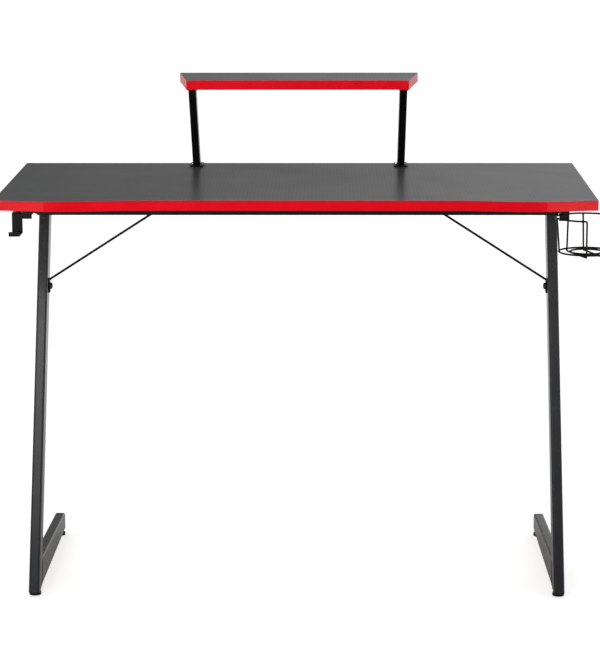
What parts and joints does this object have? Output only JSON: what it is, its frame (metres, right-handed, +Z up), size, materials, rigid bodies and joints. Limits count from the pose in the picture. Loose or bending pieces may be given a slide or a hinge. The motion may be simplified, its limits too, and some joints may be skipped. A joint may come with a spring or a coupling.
{
  "type": "gaming desk",
  "caption": "Gaming desk with a waisted dark top and red edge, slanted steel legs, braces, a raised monitor shelf, a headphone hook, a wire cup holder and screw-out levelling glides.",
  "frame": {"origin": "middle of the overall box, cup holder included, at floor level", "axes": "+X along the desk to the sitter's right, +Y from the sitter's edge to the back, +Z up"},
  "size_m": [1.1572, 0.6, 0.9345],
  "materials": {
    "board": "bare particle board",
    "red_edge": "satin red edge band",
    "dark_laminate": "fine woven-look dark grey laminate",
    "frame_paint": "charcoal powder coat, satin",
    "black_paint": "black powder coat, satin",
    "black_screw": "blackened steel",
    "bright_screw": "zinc plated",
    "black_plastic": "moulded black plastic"
  },
  "bodies": {
    "desk": {"desktop_board": "board", "shelf_board": "board", "desktop_edge_band": "red_edge", "shelf_edge_band": "red_edge", "desktop_laminate": "dark_laminate", "shelf_laminate": "dark_laminate", "left_post": "frame_paint", "right_post": "frame_paint", "left_foot": "frame_paint", "right_foot": "frame_paint", "left_arm": "frame_paint", "right_arm": "frame_paint", "front_beam": "black_paint", "rear_beam": "black_paint", "left_shelf_post": "black_paint", "right_shelf_post": "black_paint", "left_shelf_base": "black_paint", "right_shelf_base": "black_paint", "left_shelf_bracket": "black_paint", "right_shelf_bracket": "black_paint", "left_brace": "black_paint", "right_brace": "black_paint", "hook_bracket": "black_paint", "headphone_hook": "black_paint", "cup_bracket": "black_paint", "cup_rim_wire": "black_paint", "cup_base_ring": "black_paint", "cup_inner_ring": "black_paint", "cup_stay_wire": "black_paint", "brace_bolts": "black_screw", "brace_screws": "black_screw", "beam_bolts": "black_screw", "desktop_bolts": "black_screw", "hook_screws": "black_screw", "hook_rivets": "black_screw", "cup_screws": "black_screw", "shelf_base_screws": "bright_screw", "shelf_bracket_screws": "bright_screw", "glide_nuts": "bright_screw", "arm_end_caps": "black_plastic", "foot_end_caps": "black_plastic", "post_plugs": "black_plastic"},
    "left_front_leveller": {"left_front_glide": "black_plastic", "left_front_glide_stem": "bright_screw"},
    "left_rear_leveller": {"left_rear_glide": "black_plastic", "left_rear_glide_stem": "bright_screw"},
    "right_front_leveller": {"right_front_glide": "black_plastic", "right_front_glide_stem": "bright_screw"},
    "right_rear_leveller": {"right_rear_glide": "black_plastic", "right_rear_glide_stem": "bright_screw"}
  },
  "joints": [
    {"name": "left_front_level", "type": "slide", "parent": "desk", "child": "left_front_leveller", "axis": [0, 0, -1], "range_m": [0, 0.01]},
    {"name": "left_rear_level", "type": "slide", "parent": "desk", "child": "left_rear_leveller", "axis": [0, 0, -1], "range_m": [0, 0.01]},
    {"name": "right_front_level", "type": "slide", "parent": "desk", "child": "right_front_leveller", "axis": [0, 0, -1], "range_m": [0, 0.01]},
    {"name": "right_rear_level", "type": "slide", "parent": "desk", "child": "right_rear_leveller", "axis": [0, 0, -1], "range_m": [0, 0.01]}
  ]
}
